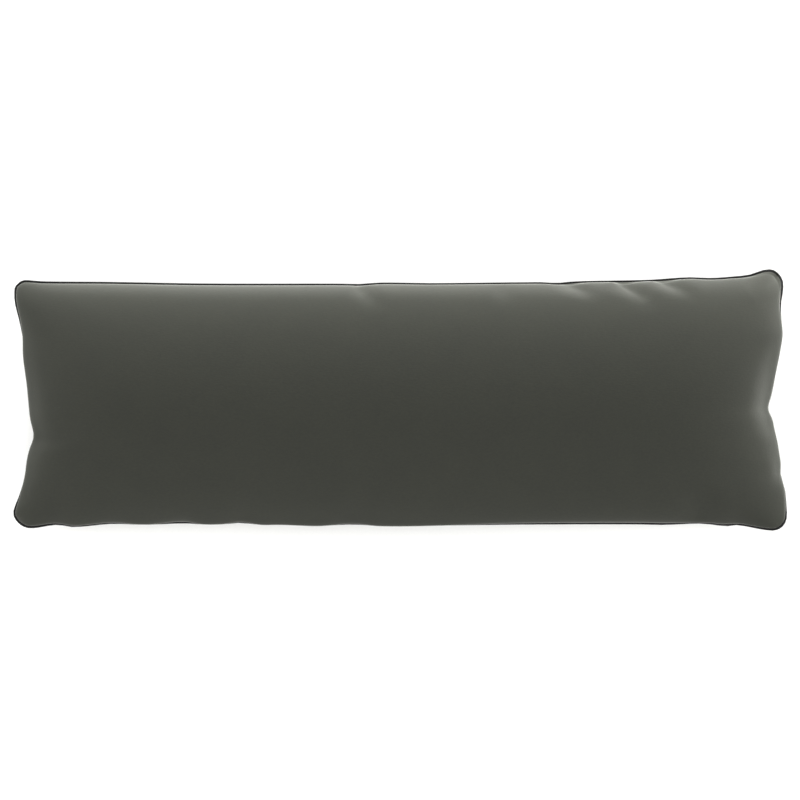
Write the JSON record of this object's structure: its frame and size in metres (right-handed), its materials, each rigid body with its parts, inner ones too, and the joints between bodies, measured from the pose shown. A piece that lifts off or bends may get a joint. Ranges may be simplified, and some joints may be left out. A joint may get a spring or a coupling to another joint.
{
  "type": "backrest cushion",
  "caption": "Long rectangular backrest cushion with a knife-edge seam, a plain dark cloth cover, thin black piping and drawn-in sides, lying on its back.",
  "frame": {"origin": "on the floor under the middle of the cushion's outline", "axes": "+X along the cushion, +Y up its face as it stands against a backrest, +Z out of its face, which is up as it lies on its back"},
  "size_m": [1.1996, 0.4058, 0.138],
  "materials": {
    "cover_cloth": "brushed dark olive-grey cloth with a soft sheen",
    "piping_cloth": "matt black bias-cut cloth over a thin cord"
  },
  "bodies": {
    "root": {"cushion": "cover_cloth", "piping": "piping_cloth"}
  },
  "joints": []
}
